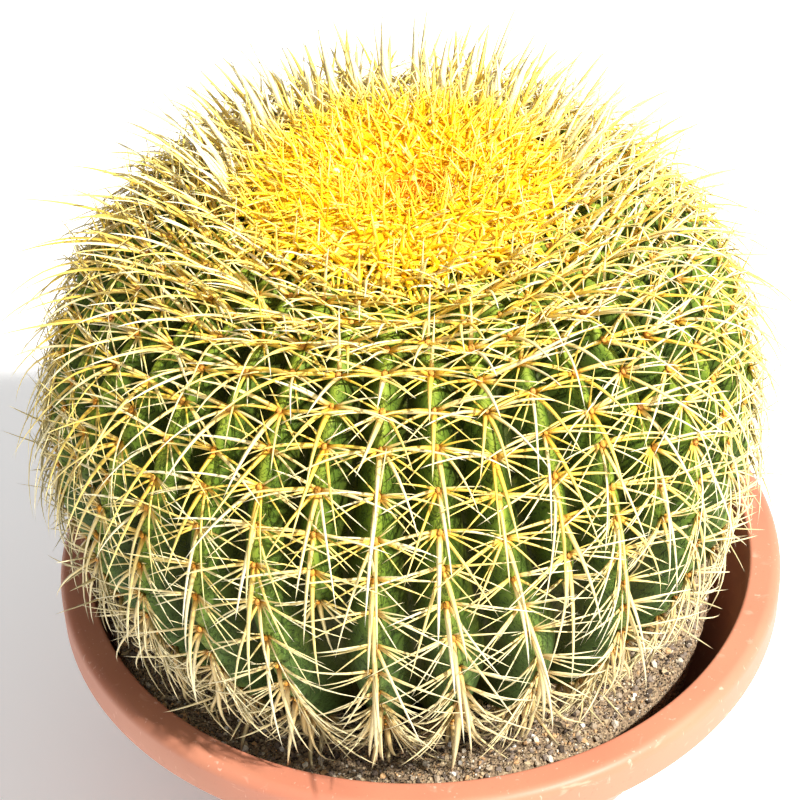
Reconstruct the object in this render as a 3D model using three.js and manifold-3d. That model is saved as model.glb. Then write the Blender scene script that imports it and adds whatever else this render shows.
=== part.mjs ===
// A round ribbed cactus in a broad-rimmed round bowl, in millimetres, +Z up.
// The origin is the centre of the pot's flat foot. The pot's rim is round this axis, and the
// plant stands a little off it, as it was potted.
import * as THREE from 'three';
import { mergeVertices } from 'three/addons/utils/BufferGeometryUtils.js';
import Module from 'manifold-3d';

const wasm = await Module();
wasm.setup();

// Pot: a bowl whose wall leans in more and more from its rim to its foot
const potHeight = 180;
const rimRadius = 200;
const rimRound = 6;
const rimBand = 22;
const rimSkirt = 4;
const lipRadius = 182.6;
const lipRound = 2;
const lipTaper = 1.4;
const potWall = 4.5;
const potFloor = 5;
const wallTaper = 20;
const wallCurve = 400;
const wallSteps = 5;
const footRound = 3;
const potSides = 48;
const drainHoles = 6;
const drainRadius = 7;
const drainCircle = 60;
const drainSides = 12;

// Soil, whose root ball stands off the pot's wall on one side
const soilDrop = 20;
const soilRadius = 170.5;
const soilShift = -7.5;
const soilRound = 4;
const soilRingInsets = [0, 20, 42];
const soilStepsAtWall = 3;
const soilUnevenness = 2.5;
const soilWaveAcross = 23;
const soilWaveAlong = 17;
const soilWaveSlant = 41;
const calmRoundNeck = 10;
const wavyFromNeck = 50;
const fitGap = 0.4;
const overcut = 1;

// Plant axis, and the outline that the rib crests follow
const plantX = -7.5;
const plantY = -17;
const crownLean = 5;
const bodyRadius = 181.5;
const widestAboveRim = 100.5;
const upperReach = 148;
const upperPower = 2.57;
const lowerReach = 167;
const lowerPower = 1.65;
const neckRadius = 102;
const neckDepth = 45;
const neckTaper = 0.85;
const neckShows = 4;
const neckBlend = 25;

// Ribs: some of them die out on the lower flank, and the others spread into their place
const ribCount = 38;
const shortRibs = [2, 4, 7, 10, 13, 16, 19, 22, 25, 28, 31, 36];
const anchorRib = 37;
const anchorTurn = -4.7;
const shortRibShare = 0.1;
const shortRibGone = 55;
const shortRibFull = 185;
const shortRibSinks = 138;
const shortRibFlat = 100.5;
const shortRibLastAreole = 112;
const ribDepth = 22;
const ribDepthAtCrown = 7;
const ribDepthFadesFrom = 0.35;
const ribDepthGrowsOver = 40;
const crestWidth = 0.15;
const bodyRows = 13;

// Crown: a woolly cushion in the sunken top, with the young spines
const crownRadius = 72;
const crownSeat = 12;
const crownRim = 10;
const crownDip = -2;
const crownRisesTo = 0.6;
const crownFallsFrom = 0.75;
const crownFall = 5.5;
const crownSides = 48;
const crownSpines = 300;
const crownSpinesReach = 0.95;
const crownTilt = { middle: -35, edge: 38, spread: 24, twist: 40 };
const crownLength = { middle: 14, edge: 34 };
const crownThickness = { middle: 0.9, edge: 1.3 };

// Spines, at true size but fewer than on the living plant
const areoleSpacing = 19;
const areoleStagger = 0.382;
const crownMargin = 7;
const footMargin = 0.04;
const rootDepth = 3;
const rootTail = 2;
const central = { length: 46, radius: 1.5, droop: 0.55, droopAtCrown: 0.3, spread: 0.3 };
const radial = { length: 30, radius: 0.95, rise: 0.45, slant: 0.8, slantMiddle: 0.6 };
const spineClearance = 4;
const liftStep = 0.12;
const liftTries = 20;
const seed = 41;

const rimTop = potHeight;
const bandFoot = rimTop - rimBand;
const soilTop = rimTop - soilDrop;
const widest = rimTop + widestAboveRim;
const bodyTop = widest + upperReach;
const flankFoot = soilTop + neckShows;
const degrees = Math.PI / 180;
const nudge = 0.01;
const up = new THREE.Vector3(0, 0, 1);

// A repeatable stream of numbers from 0 to 1
function randomStream(start) {
  let state = start;
  return () => {
    state = (state + 0x6d2b79f5) | 0;
    let mixed = Math.imul(state ^ (state >>> 15), 1 | state);
    mixed = (mixed + Math.imul(mixed ^ (mixed >>> 7), 61 | mixed)) ^ mixed;
    return ((mixed ^ (mixed >>> 14)) >>> 0) / 2 ** 32;
  };
}

function mix(a, b, share) {
  return a + (b - a) * share;
}

function smooth(low, high, value) {
  const share = Math.min(Math.max((value - low) / (high - low), 0), 1);
  return share * share * (3 - 2 * share);
}

// Closed solid of a geometry, with shared vertices merged and collapsed triangles left out
function toSolid(geometry) {
  const bare = new THREE.BufferGeometry();
  bare.setAttribute('position', geometry.getAttribute('position'));
  bare.setIndex(geometry.index);
  const merged = mergeVertices(bare, 1e-4);
  const index = merged.index.array;
  const kept = [];
  for (let i = 0; i < index.length; i += 3) {
    const [a, b, c] = [index[i], index[i + 1], index[i + 2]];
    if (a !== b && b !== c && c !== a) kept.push(a, b, c);
  }
  const mesh = new wasm.Mesh({
    numProp: 3,
    vertProperties: new Float32Array(merged.getAttribute('position').array),
    triVerts: new Uint32Array(kept),
  });
  return new wasm.Manifold(mesh);
}

function toGeometry(solid) {
  const mesh = solid.getMesh();
  const geometry = new THREE.BufferGeometry();
  geometry.setAttribute('position', new THREE.BufferAttribute(mesh.vertProperties, 3));
  geometry.setIndex(new THREE.BufferAttribute(mesh.triVerts, 1));
  geometry.computeVertexNormals();
  return geometry;
}

// Solid of revolution round +Z from an outline of [radius, height] points
function turned(outline, sides) {
  const points = outline.map(([radius, height]) => new THREE.Vector2(radius, height));
  return new THREE.LatheGeometry(points, sides).rotateX(Math.PI / 2);
}

// Outline points of an arc, with its angles in degrees from outwards towards upwards
function arc(centreRadius, centreHeight, round, from, to, steps) {
  const points = [];
  for (let step = 0; step <= steps; step += 1) {
    const angle = mix(from, to, step / steps) * degrees;
    points.push([centreRadius + round * Math.cos(angle), centreHeight + round * Math.sin(angle)]);
  }
  return points;
}

// Closed skin over rings of equal count, from the lowest ring to the highest
function skinOverRings(rings, lowCentre, highCentre) {
  const count = rings[0].length;
  const points = [lowCentre, ...rings.flat(), highCentre];
  const last = points.length - 1;
  const topStart = 1 + (rings.length - 1) * count;
  const index = [];
  for (let i = 0; i < count; i += 1) {
    const next = (i + 1) % count;
    index.push(0, 1 + next, 1 + i);
    index.push(last, topStart + i, topStart + next);
  }
  for (let row = 0; row < rings.length - 1; row += 1) {
    for (let i = 0; i < count; i += 1) {
      const next = (i + 1) % count;
      const low = 1 + row * count;
      const high = low + count;
      index.push(low + i, low + next, high + i);
      index.push(low + next, high + next, high + i);
    }
  }
  const geometry = new THREE.BufferGeometry().setFromPoints(points);
  geometry.setIndex(index);
  return geometry;
}

// Three-sided needle from a root that is sunk in what it grows from, against the outward direction
function needle(place, outward, direction, length, radius) {
  const root = place.clone().addScaledVector(outward, -rootDepth);
  const base = root.clone().addScaledVector(direction, -rootTail);
  const tip = root.clone().addScaledVector(direction, length + rootDepth);
  const side = new THREE.Vector3().crossVectors(direction, up);
  if (side.lengthSq() < 1e-4) side.set(1, 0, 0);
  side.normalize();
  const corners = [0, 120, 240].map((turn) =>
    base.clone().addScaledVector(side.clone().applyAxisAngle(direction, turn * degrees), radius),
  );
  const geometry = new THREE.BufferGeometry().setFromPoints([...corners, tip]);
  geometry.setIndex([0, 2, 1, 0, 1, 3, 1, 2, 3, 2, 0, 3]);
  return toSolid(geometry);
}

function potOuterRadius(height) {
  const depth = bandFoot - height;
  const leaning = depth * Math.tan(wallTaper * degrees) + depth ** 2 / (2 * wallCurve);
  return lipRadius - lipTaper + potWall - leaning;
}

function potInnerRadius(height) {
  return potOuterRadius(height) - potWall;
}

// Height of a corner of the bowl's wall, counted up from its foot
function wallHeight(step) {
  return (bandFoot * step) / wallSteps;
}

// The pot: a bowl, and a broad rim that is turned down outside it
function potWithRim() {
  const skirtInside = rimRadius - rimSkirt;
  const outside = [];
  const inside = [[potInnerRadius(potFloor), potFloor]];
  for (let step = 1; step <= wallSteps; step += 1) {
    const height = wallHeight(step);
    outside.push([potOuterRadius(height), height]);
    inside.push([potInnerRadius(height), height]);
  }
  const outline = [
    [0, 0],
    [potOuterRadius(footRound) - footRound, 0],
    [potOuterRadius(footRound), footRound],
    ...outside,
    [potOuterRadius(bandFoot), rimTop - rimSkirt],
    [skirtInside, rimTop - rimSkirt],
    [skirtInside, bandFoot],
    [rimRadius, bandFoot],
    ...arc(rimRadius - rimRound, rimTop - rimRound, rimRound, 0, 90, 3),
    ...arc(lipRadius + lipRound, rimTop - lipRound, lipRound, 90, 180, 2),
    ...inside.reverse(),
    [0, potFloor],
  ];
  let pot = toSolid(turned(outline, potSides));
  for (let hole = 0; hole < drainHoles; hole += 1) {
    const turn = (hole + 0.5) * (360 / drainHoles) * degrees;
    const drain = new THREE.CylinderGeometry(drainRadius, drainRadius, 4 * potFloor, drainSides);
    drain.rotateX(Math.PI / 2);
    drain.translate(drainCircle * Math.cos(turn), drainCircle * Math.sin(turn), potFloor);
    pot = pot.subtract(toSolid(drain));
  }
  return toGeometry(pot);
}

function neckRadiusAt(depth) {
  return mix(neckRadius, neckRadius * neckTaper, depth / neckDepth);
}

// The filled soil, with a plain hole that the plant's buried neck stands in
function pottedSoil() {
  const bottom = potFloor + fitGap;
  const ringAt = (radius, centre, heightOf) => {
    const ring = [];
    for (let i = 0; i < potSides; i += 1) {
      const turn = ((i + 0.5) * 2 * Math.PI) / potSides;
      const x = centre + radius * Math.cos(turn);
      const y = radius * Math.sin(turn);
      ring.push(new THREE.Vector3(x, y, heightOf(x, y)));
    }
    return ring;
  };
  const surface = (x, y) => {
    const fromNeck = Math.hypot(x - plantX, y - plantY) - neckRadius;
    const waves = Math.sin(x / soilWaveAcross + 1) + Math.sin(y / soilWaveAlong - x / soilWaveSlant);
    return soilTop + 0.5 * soilUnevenness * waves * smooth(calmRoundNeck, wavyFromNeck, fromNeck);
  };
  const topRings = soilRingInsets.map((inset) =>
    ringAt(soilRadius - soilRound - inset, soilShift, surface),
  );
  const wallRings = [];
  for (let step = 0; step <= soilStepsAtWall; step += 1) {
    const height = Math.max(wallHeight(step), bottom);
    wallRings.push(ringAt(potInnerRadius(height) - 2 * fitGap, 0, () => height));
  }
  const rings = [
    ...wallRings,
    ringAt(soilRadius, soilShift, (x, y) => surface(x, y) - soilRound),
    ...topRings,
  ];
  const low = new THREE.Vector3(0, 0, bottom);
  const high = new THREE.Vector3(soilShift, 0, soilTop);
  const soil = toSolid(skinOverRings(rings, low, high));
  const clear = (radius) => radius / Math.cos(Math.PI / potSides) + fitGap;
  const mouth = clear(neckRadiusAt(-overcut));
  const hole = turned(
    [
      [0, soilTop - neckDepth - fitGap],
      [clear(neckRadiusAt(neckDepth)), soilTop - neckDepth - fitGap],
      [mouth, soilTop + overcut],
      [mouth, soilTop + neckDepth],
      [0, soilTop + neckDepth],
    ],
    potSides,
  );
  hole.translate(plantX, plantY, 0);
  return toGeometry(soil.subtract(toSolid(hole)));
}

// Radius and height of the crest line at an angle along the outline: below 0 under the widest level
function crestPoint(angle) {
  const rising = angle >= 0;
  const power = 2 / (rising ? upperPower : lowerPower);
  const reach = rising ? upperReach : -lowerReach;
  const radius = bodyRadius * Math.cos(angle) ** power;
  const height = widest + reach * Math.abs(Math.sin(angle)) ** power;
  return [radius, height];
}

const lowAngle = -Math.asin(((widest - flankFoot) / lowerReach) ** (lowerPower / 2));
const highAngle = Math.acos((crownRadius / bodyRadius) ** (upperPower / 2));

// Outward direction of the outline, as [radius, height] shares
function crestNormal(angle) {
  const [lowRadius, lowHeight] = crestPoint(angle - nudge);
  const [highRadius, highHeight] = crestPoint(angle + nudge);
  const length = Math.hypot(highRadius - lowRadius, highHeight - lowHeight);
  return [(highHeight - lowHeight) / length, -(highRadius - lowRadius) / length];
}

function ribShare(rib, height) {
  if (!shortRibs.includes(rib)) return 1;
  return mix(shortRibShare, 1, smooth(shortRibGone, shortRibFull, height - rimTop));
}

// How far a rib's crest has sunk to the valley beside it: 0 for a full rib
function ribSunk(rib, height) {
  if (!shortRibs.includes(rib)) return 0;
  const sunk = (shortRibSinks - (height - rimTop)) / (shortRibSinks - shortRibFlat);
  return THREE.MathUtils.clamp(sunk, 0, 1);
}

// Turn round the plant's axis where each rib starts and ends at a height, the front being 0
function ribEdges(height) {
  const edges = [0];
  for (let rib = 0; rib < ribCount; rib += 1) edges.push(edges[rib] + ribShare(rib, height));
  const whole = edges[ribCount];
  const anchor = (edges[anchorRib] + edges[anchorRib + 1]) / 2;
  return edges.map((edge) => (((edge - anchor) / whole) * 360 + anchorTurn) * degrees);
}

function reliefDepth(angle) {
  const [, height] = crestPoint(angle);
  const towardsCrown = smooth(ribDepthFadesFrom * highAngle, highAngle, angle);
  const aboveSoil = smooth(flankFoot, flankFoot + ribDepthGrowsOver, height);
  return mix(ribDepth, ribDepthAtCrown, towardsCrown) * aboveSoil;
}

// Point on the body: relief is 0 on a crest and 1 in a valley
function bodyPoint(angle, turn, relief) {
  const [crest, crestHeight] = crestPoint(angle);
  const [outward, upward] = crestNormal(angle);
  const inset = reliefDepth(angle) * relief;
  const aboveNeck = smooth(flankFoot, flankFoot + neckBlend, crestHeight);
  const radius = mix(neckRadius, crest, aboveNeck) - inset * outward;
  const height = crestHeight - inset * upward;
  const lean = crownLean * smooth(widest, bodyTop, height);
  return new THREE.Vector3(
    plantX + lean + radius * Math.sin(turn),
    plantY - radius * Math.cos(turn),
    height,
  );
}

// Turns of the three mesh lines of a rib: its valley, and the two sides of its crest
function ribTurns(edges, rib) {
  const places = [0, 0.5 - crestWidth / 2, 0.5 + crestWidth / 2];
  return places.map((place) => mix(edges[rib], edges[rib + 1], place));
}

// Level ring of the body's mesh lines, with no relief
function plainRing(radius, height, lean) {
  const edges = ribEdges(height);
  const ring = [];
  for (let rib = 0; rib < ribCount; rib += 1) {
    for (const turn of ribTurns(edges, rib)) {
      const x = plantX + lean + radius * Math.sin(turn);
      ring.push(new THREE.Vector3(x, plantY - radius * Math.cos(turn), height));
    }
  }
  return ring;
}

// The grown body: ribs from the soil to the crown's seat, and the neck below the soil
function ribbedBody() {
  const [, seatEdge] = crestPoint(highAngle);
  const neckFoot = soilTop - neckDepth;
  const seat = seatEdge - crownSeat;
  const rings = [plainRing(neckRadiusAt(neckDepth), neckFoot, 0)];
  for (let row = 0; row < bodyRows; row += 1) {
    const angle = mix(lowAngle, highAngle, row / (bodyRows - 1));
    const [, height] = crestPoint(angle);
    const edges = ribEdges(height);
    const ring = [];
    for (let rib = 0; rib < ribCount; rib += 1) {
      const sunk = ribSunk(rib, height);
      const [valley, before, after] = ribTurns(edges, rib);
      ring.push(bodyPoint(angle, valley, 1));
      ring.push(bodyPoint(angle, before, sunk));
      ring.push(bodyPoint(angle, after, sunk));
    }
    rings.push(ring);
  }
  rings.push(plainRing(crownRadius - 1, seat, crownLean));
  const low = new THREE.Vector3(plantX, plantY, neckFoot);
  const high = new THREE.Vector3(plantX + crownLean, plantY, seat);
  return toSolid(skinOverRings(rings, low, high));
}

// Places of the areoles along one rib, as angles along the outline, from the crown down
function areoleAngles(phase, lowest) {
  const places = [];
  const step = 0.2 * nudge;
  let walked = areoleSpacing * (1 - phase) - crownMargin;
  let [radius, height] = crestPoint(highAngle);
  for (let angle = highAngle - step; angle > lowAngle + footMargin; angle -= step) {
    const [nextRadius, nextHeight] = crestPoint(angle);
    walked += Math.hypot(nextRadius - radius, nextHeight - height);
    [radius, height] = [nextRadius, nextHeight];
    if (walked >= areoleSpacing) {
      walked -= areoleSpacing;
      if (height - rimTop > lowest) places.push(angle);
    }
  }
  return places;
}

// Turns a spine up and out from the plant's axis until its tip clears the soil and the pot
function clearOfPot(root, direction, length) {
  const lift = new THREE.Vector3(root.x - plantX, root.y - plantY, 0);
  lift.setLength(liftStep).setZ(liftStep);
  const cleared = direction.clone();
  for (let tries = 0; tries < liftTries; tries += 1) {
    const tip = root.clone().addScaledVector(cleared, length);
    const overPot = Math.hypot(tip.x, tip.y) > lipRadius - 3 * spineClearance;
    const floor = (overPot ? rimTop : soilTop + soilUnevenness) + spineClearance;
    if (tip.z > floor) break;
    cleared.add(lift).normalize();
  }
  return cleared;
}

// One spine for each areole in turn: out of the crest, then to one side, then to the other
function bodySpines(random) {
  const spines = [];
  for (let rib = 0; rib < ribCount; rib += 1) {
    const lowest = shortRibs.includes(rib) ? shortRibLastAreole : 0;
    const phase = (rib * areoleStagger) % 1;
    areoleAngles(phase, lowest).forEach((angle, row) => {
      const [, height] = crestPoint(angle);
      const edges = ribEdges(height);
      const turn = (edges[rib] + edges[rib + 1]) / 2;
      const sunk = ribSunk(rib, height);
      const root = bodyPoint(angle, turn, sunk);
      const along = bodyPoint(angle + 2 * nudge, turn, sunk).sub(root).normalize();
      const side = new THREE.Vector3(Math.cos(turn), Math.sin(turn), 0);
      const outward = new THREE.Vector3().crossVectors(side, along).normalize();
      const kind = (row + rib) % 3;
      const form = kind === 0 ? central : radial;
      const direction = new THREE.Vector3();
      if (kind === 0) {
        const droop = mix(central.droop, central.droopAtCrown, smooth(0, highAngle, angle));
        direction.copy(outward);
        direction.addScaledVector(along, central.spread * (random() - 0.5) - droop);
        direction.addScaledVector(side, central.spread * (random() - 0.5));
      } else {
        const hand = kind === 1 ? 1 : -1;
        direction.copy(side).multiplyScalar(hand).addScaledVector(outward, radial.rise);
        direction.addScaledVector(along, radial.slant * (random() - radial.slantMiddle));
      }
      const length = form.length * mix(0.85, 1.1, random());
      const cleared = clearOfPot(root, direction.normalize(), length);
      spines.push(needle(root, outward, cleared, length, form.radius));
    });
  }
  return spines;
}

function cactusWithSpines() {
  const spines = bodySpines(randomStream(seed));
  return toGeometry(wasm.Manifold.union([ribbedBody(), ...spines]));
}

// Height of the cushion's top above the crown's edge, at a share of its radius
function crownRise(share) {
  const risen = mix(crownDip, crownRim, smooth(0, crownRisesTo, share));
  return risen - crownFall * smooth(crownFallsFrom, 1, share);
}

// The woolly crown with its young spines: they close over the middle and lean out at the edge
function woollyCrown() {
  const random = randomStream(seed + 1);
  const [, edgeHeight] = crestPoint(highAngle);
  const seat = edgeHeight - crownSeat + fitGap;
  const inSeat = crownRadius - 1 - 3 * fitGap;
  const outline = [
    [0, seat],
    [inSeat - 1, seat],
    [inSeat, edgeHeight + 1],
    [crownRadius + 1, edgeHeight + 2],
  ];
  for (const share of [1, 0.9, 0.75, 0.5, 0.25, 0]) {
    outline.push([crownRadius * share, edgeHeight + crownRise(share)]);
  }
  const parts = [toSolid(turned(outline, crownSides))];
  const goldenTurn = 137.508 * degrees;
  for (let spine = 0; spine < crownSpines; spine += 1) {
    const share = Math.sqrt((spine + 0.5) / crownSpines) * crownSpinesReach;
    const towardsEdge = smooth(0.1, 1, share);
    const turn = spine * goldenTurn;
    const out = new THREE.Vector3(Math.sin(turn), -Math.cos(turn), 0);
    const root = out.clone().multiplyScalar(crownRadius * share);
    root.z = edgeHeight + crownRise(share);
    const lean = mix(crownTilt.middle, crownTilt.edge, towardsEdge);
    const tilt = (lean + crownTilt.spread * (random() - 0.5)) * degrees;
    const twist = crownTilt.twist * (random() - 0.5) * degrees;
    const direction = out.clone().applyAxisAngle(up, twist).multiplyScalar(Math.sin(tilt));
    direction.addScaledVector(up, Math.cos(tilt));
    const length = mix(crownLength.middle, crownLength.edge, towardsEdge) * mix(0.85, 1.15, random());
    const thickness = mix(crownThickness.middle, crownThickness.edge, share);
    parts.push(needle(root, up, direction, length, thickness));
  }
  const crown = toGeometry(wasm.Manifold.union(parts));
  crown.translate(plantX + crownLean, plantY, 0);
  return crown;
}

function addPiece(group, name, geometry, colour, roughness) {
  const material = new THREE.MeshStandardMaterial({ color: colour, roughness, metalness: 0 });
  const mesh = new THREE.Mesh(geometry, material);
  mesh.name = name;
  group.add(mesh);
}

const group = new THREE.Group();
addPiece(group, 'pot', potWithRim(), 0xd9825c, 0.45);
addPiece(group, 'soil', pottedSoil(), 0x7d7263, 0.95);
addPiece(group, 'cactus', cactusWithSpines(), 0x5d7f33, 0.6);
addPiece(group, 'crown', woollyCrown(), 0xf0bd2f, 0.85);

export default group;
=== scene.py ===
"""A round golden-spined cactus in a broad-rimmed plastic pot, dressed round its CAD frame.

Metres, +Z up, with the origin at the centre of the pot's foot. A turn round the plant is measured
from the front, -Y, towards +X. An angle along the body's outline is 0 at its widest level, rising
towards the crown.
"""

import bmesh
import bpy
import numpy as np
from mathutils import Matrix, Vector, noise


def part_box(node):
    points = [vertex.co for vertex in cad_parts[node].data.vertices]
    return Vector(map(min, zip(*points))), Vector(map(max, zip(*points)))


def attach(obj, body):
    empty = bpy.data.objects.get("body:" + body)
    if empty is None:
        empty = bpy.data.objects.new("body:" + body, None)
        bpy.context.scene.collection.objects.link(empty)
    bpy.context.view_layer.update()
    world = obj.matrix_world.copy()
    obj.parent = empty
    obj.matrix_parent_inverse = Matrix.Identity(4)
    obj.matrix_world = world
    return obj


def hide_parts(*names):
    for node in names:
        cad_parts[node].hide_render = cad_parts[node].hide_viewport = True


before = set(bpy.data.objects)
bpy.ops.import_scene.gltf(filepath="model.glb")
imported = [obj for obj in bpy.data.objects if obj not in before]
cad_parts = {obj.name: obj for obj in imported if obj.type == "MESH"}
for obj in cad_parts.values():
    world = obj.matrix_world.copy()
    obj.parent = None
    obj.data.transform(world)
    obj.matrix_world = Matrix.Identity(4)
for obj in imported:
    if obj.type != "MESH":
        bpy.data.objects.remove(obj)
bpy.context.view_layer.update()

MM = 0.001

# Pot
RIM_RADIUS, _, RIM_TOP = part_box("pot")[1]
RIM_ROUND = 6 * MM
RIM_BAND = 22 * MM
RIM_SKIRT = 4 * MM
LIP_RADIUS = 182.6 * MM
LIP_ROUND = 2 * MM
LIP_TAPER = 1.4 * MM
POT_WALL = 4.5 * MM
POT_FLOOR = 5 * MM
BAND_FOOT = RIM_TOP - RIM_BAND
WALL_TAPER = 20
WALL_CURVE = 400 * MM
FOOT_ROUND = 3 * MM
POT_WALL_ROWS = 24
POT_SIDES = 288
RIM_SUPPORT = 0.8 * MM
SHARP_EDGE = 40
DRAIN_HOLES = 6
DRAIN_RADIUS = 7 * MM
DRAIN_CIRCLE = 60 * MM
DRAIN_SIDES = 32

# Soil
SOIL_TOP = RIM_TOP - 20 * MM
SOIL_AT_WALL = 0.6 * BAND_FOOT
SOIL_RADIUS = 170.5 * MM
SOIL_SHIFT = -7.5 * MM
SOIL_ROUND = 4 * MM
SOIL_UNEVENNESS = 2.5 * MM
SOIL_WAVES = (23 * MM, 17 * MM, 41 * MM)
CALM_ROUND_NECK = 10 * MM
WAVY_FROM_NECK = 50 * MM
FIT_GAP = 0.4 * MM
NECK_GAP = 1.6 * MM
SOIL_WALL_ROWS = 5
SOIL_SIDE_ROWS = 14
SOIL_TOP_ROWS = 42
SMOOTH_ROWS_AT_NECK = 8
SOIL_SIDES = 448
SIDE_ROUGHER = 1.6
CRUMB_SIZE = 5 * MM
CRUMB_HEIGHT = 1.3 * MM
GRAINS = 8000
SMALLEST_GRAIN = 0.5 * MM
GRAIN_RANGE = 1.5 * MM
GRAIN_SUNK = 0.35

# Plant axis, and the outline that the rib crests follow
PLANT = np.array([-7.5 * MM, -17 * MM, 0.0])
CROWN_LEAN = 5 * MM
BODY_RADIUS = 181.5 * MM
WIDEST = RIM_TOP + 100.5 * MM
UPPER_REACH = 148 * MM
UPPER_POWER = 2.57
LOWER_REACH = 167 * MM
LOWER_POWER = 1.65
BODY_TOP = WIDEST + UPPER_REACH
NECK_RADIUS = 102 * MM
NECK_DEPTH = 45 * MM
NECK_TAPER = 0.85
FLANK_FOOT = SOIL_TOP + 4 * MM
NECK_BLEND = 25 * MM

# Ribs
RIB_COUNT = 38
SHORT_RIBS = (2, 4, 7, 10, 13, 16, 19, 22, 25, 28, 31, 36)
ANCHOR_RIB = 37
ANCHOR_TURN = -4.7
SHORT_RIB_SHARE = 0.1
SHORT_RIB_GONE = RIM_TOP + 55 * MM
SHORT_RIB_FULL = RIM_TOP + 185 * MM
SHORT_RIB_SINKS = RIM_TOP + 138 * MM
SHORT_RIB_FLAT = WIDEST
SHORT_RIB_LAST_AREOLE = RIM_TOP + 112 * MM
RIB_DEPTH = 22 * MM
RIB_DEPTH_AT_CROWN = 7 * MM
RIB_DEPTH_FADES_FROM = 0.35
RIB_DEPTH_GROWS_OVER = 40 * MM
CREST_ROUNDING = 0.13
FLANK_SWELL = 1.2 * MM
SWELL_FULL_AT = 6 * MM
NOTCH_DEPTH = 1.6 * MM
NOTCH_REACH = 4.5 * MM
NOTCH_WIDTH = 0.3
RIB_COLUMNS = 12
BODY_ROWS = 150

# Crown
CROWN_RADIUS = 72 * MM
CROWN_SEAT = 12 * MM
CROWN_LEDGE = 1 * MM
CROWN_RIM = 10 * MM
CROWN_DIP = -2 * MM
CROWN_RISES_TO = 0.6
CROWN_FALLS_FROM = 0.75
CROWN_FALL = 5.5 * MM
CROWN_FALLS_ON_TO = 1.3
CROWN_RINGS = 30
CROWN_SIDES = 144
WOOL_LUMP_SIZE = 9 * MM
WOOL_LUMP_HEIGHT = 1.6 * MM
SMOOTH_ROWS_AT_SEAT = 4
CROWN_AREOLES = 235
CROWN_SPREAD = 1.13
GOLDEN_ANGLE = 137.508
LEAN_IN_MIDDLE = -38
LEAN_AT_EDGE = 62

# Areoles and spines
AREOLE_SPACING = 19 * MM
SPACING_SPREAD = 0.16
YOUNG_SPACING = 0.55
YOUNG_SPACING_UNTIL = 0.3
YOUNG_STEP = YOUNG_SPACING * AREOLE_SPACING
AREOLE_STAGGER = 0.382
CROWN_MARGIN = 7 * MM
HIGHEST_AREOLE = CROWN_MARGIN - 0.4 * YOUNG_STEP
FOOT_MARGIN = 0.04
FELT_SIZE = np.array([1.25, 1.7, 1.0]) * MM
FELT_SUNK = 0.6 * MM
TUFT_SIZE = np.array([1.6, 1.9, 1.5]) * MM
ROOT_DEPTH = 2 * MM
ROOT_OFFSET = 1.1 * MM
SPINE_SIDES = 4
UPPER_RADIALS_FROM = WIDEST + 30 * MM
CLEARANCE = 1.5 * MM
TIP_INSIDE_LIP = 8 * MM
SEED = 41

# Light
KEY_PLACE = (1.39, -1.25, 2.43)
KEY_AIM = RIM_TOP + 100 * MM
KEY_POWER = 194
KEY_SIZE = 0.12
KEY_TONE = (1.0, 0.98, 0.94)
SOFT_LIGHT_FROM = (0.64, -0.50, 0.58)
SOFT_LIGHT_RANGE = (-0.4, 0.9)
SOFT_LIGHT_STRENGTH = (0.05, 0.94)
FLOOR_REACH = 14
FLOOR_GLOW = 0.2

# Camera, as fitted to the photograph's rim and body outline
CAMERA_PLACE = (0, -0.92075, RIM_TOP + 0.81705)
CAMERA_RIGHT = (0.999533, -0.012923, -0.027680)
CAMERA_UP = (0.029761, 0.616230, 0.787004)
CAMERA_LENS = 99
SENSOR_WIDTH = 36


def mix(a, b, share):
    return a + (b - a) * share


def smooth(low, high, value):
    share = np.clip((value - low) / (high - low), 0, 1)
    return share * share * (3 - 2 * share)


def unit(vectors):
    return vectors / np.linalg.norm(vectors, axis=-1, keepdims=True)


def circle(count):
    """Turns of evenly spaced places round a circle."""
    return 2 * np.pi * np.arange(count) / count


def outwards(turn):
    """Level direction away from an upright axis at each turn."""
    return np.stack([np.sin(turn), -np.cos(turn), 0 * turn], axis=-1)


def sideways(turn):
    """Level direction at right angles to outwards, towards the larger turns."""
    return np.stack([np.cos(turn), np.sin(turn), 0 * turn], axis=-1)


def turn_about(middle, points):
    """Turn of each point round the upright axis through a middle."""
    out = points - middle
    return np.arctan2(out[..., 0], -out[..., 1])


def noise_at(points, size):
    """Fractal noise of about -1 to 1 at each point, whose largest features are about size across."""
    return np.array([noise.fractal(Vector(point), 1.0, 2.0, 3) for point in points / size])


def add_object(name, data):
    added = bpy.data.objects.new(name, data)
    bpy.context.scene.collection.objects.link(added)
    return added


def make_mesh(name, points, face_groups, **attributes):
    """Object of points and faces, each group of faces with one number of corners."""
    mesh = bpy.data.meshes.new(name)
    corners = np.concatenate([faces.ravel() for faces in face_groups])
    sizes = np.concatenate([np.full(len(faces), faces.shape[1]) for faces in face_groups])
    mesh.vertices.add(len(points))
    mesh.vertices.foreach_set("co", np.asarray(points, np.float32).ravel())
    mesh.loops.add(len(corners))
    mesh.loops.foreach_set("vertex_index", corners.astype(np.int32))
    mesh.polygons.add(len(sizes))
    mesh.polygons.foreach_set("loop_start", (np.cumsum(sizes) - sizes).astype(np.int32))
    for key, values in attributes.items():
        layer = mesh.attributes.new(key, "FLOAT", "POINT")
        layer.data.foreach_set("value", np.asarray(values, np.float32))
    mesh.update(calc_edges=True)
    mesh.validate()
    mesh.shade_smooth()
    return add_object(name, mesh)


def place_piece(piece, material, slot, *nodes):
    """Gives a piece its material, and lets it ride on the body and stand for its nodes."""
    piece.data.materials.clear()
    piece.data.materials.append(material)
    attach(piece, "root")
    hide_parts(*nodes)


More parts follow.
